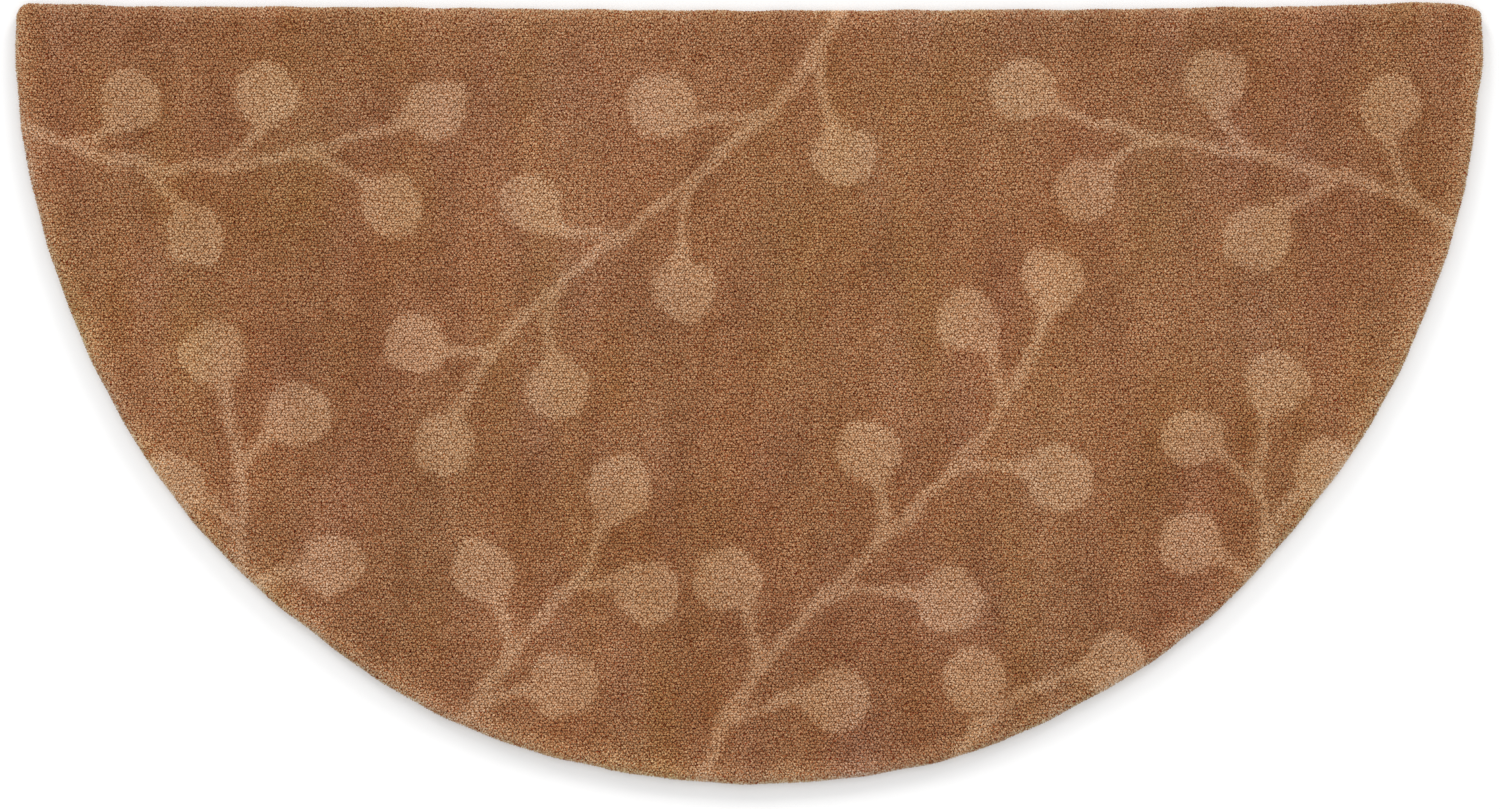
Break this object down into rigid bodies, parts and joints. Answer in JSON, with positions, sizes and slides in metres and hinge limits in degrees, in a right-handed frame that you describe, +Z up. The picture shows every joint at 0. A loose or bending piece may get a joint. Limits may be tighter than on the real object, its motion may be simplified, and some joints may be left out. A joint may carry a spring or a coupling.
{
  "type": "half-moon hearth rug",
  "caption": "Flat half-moon hearth rug with a straight back edge and a rounded front, a dense short cut wool pile in tan with paler berry sprays, and a soft rounded rim.",
  "frame": {"origin": "on the floor, under the middle of the rug's bounding box", "axes": "+X runs along the straight edge, +Y points to the straight edge on the hearth's side, and +Z points up out of the pile"},
  "size_m": [1.27, 0.6776, 0.0125],
  "materials": {
    "wool_pile": "matt short cut wool pile, tan ground with a paler tone for the sprays",
    "woven_backing": "plain undyed woven cotton backing, matt"
  },
  "bodies": {
    "root": {"rug": "wool_pile"}
  },
  "joints": []
}
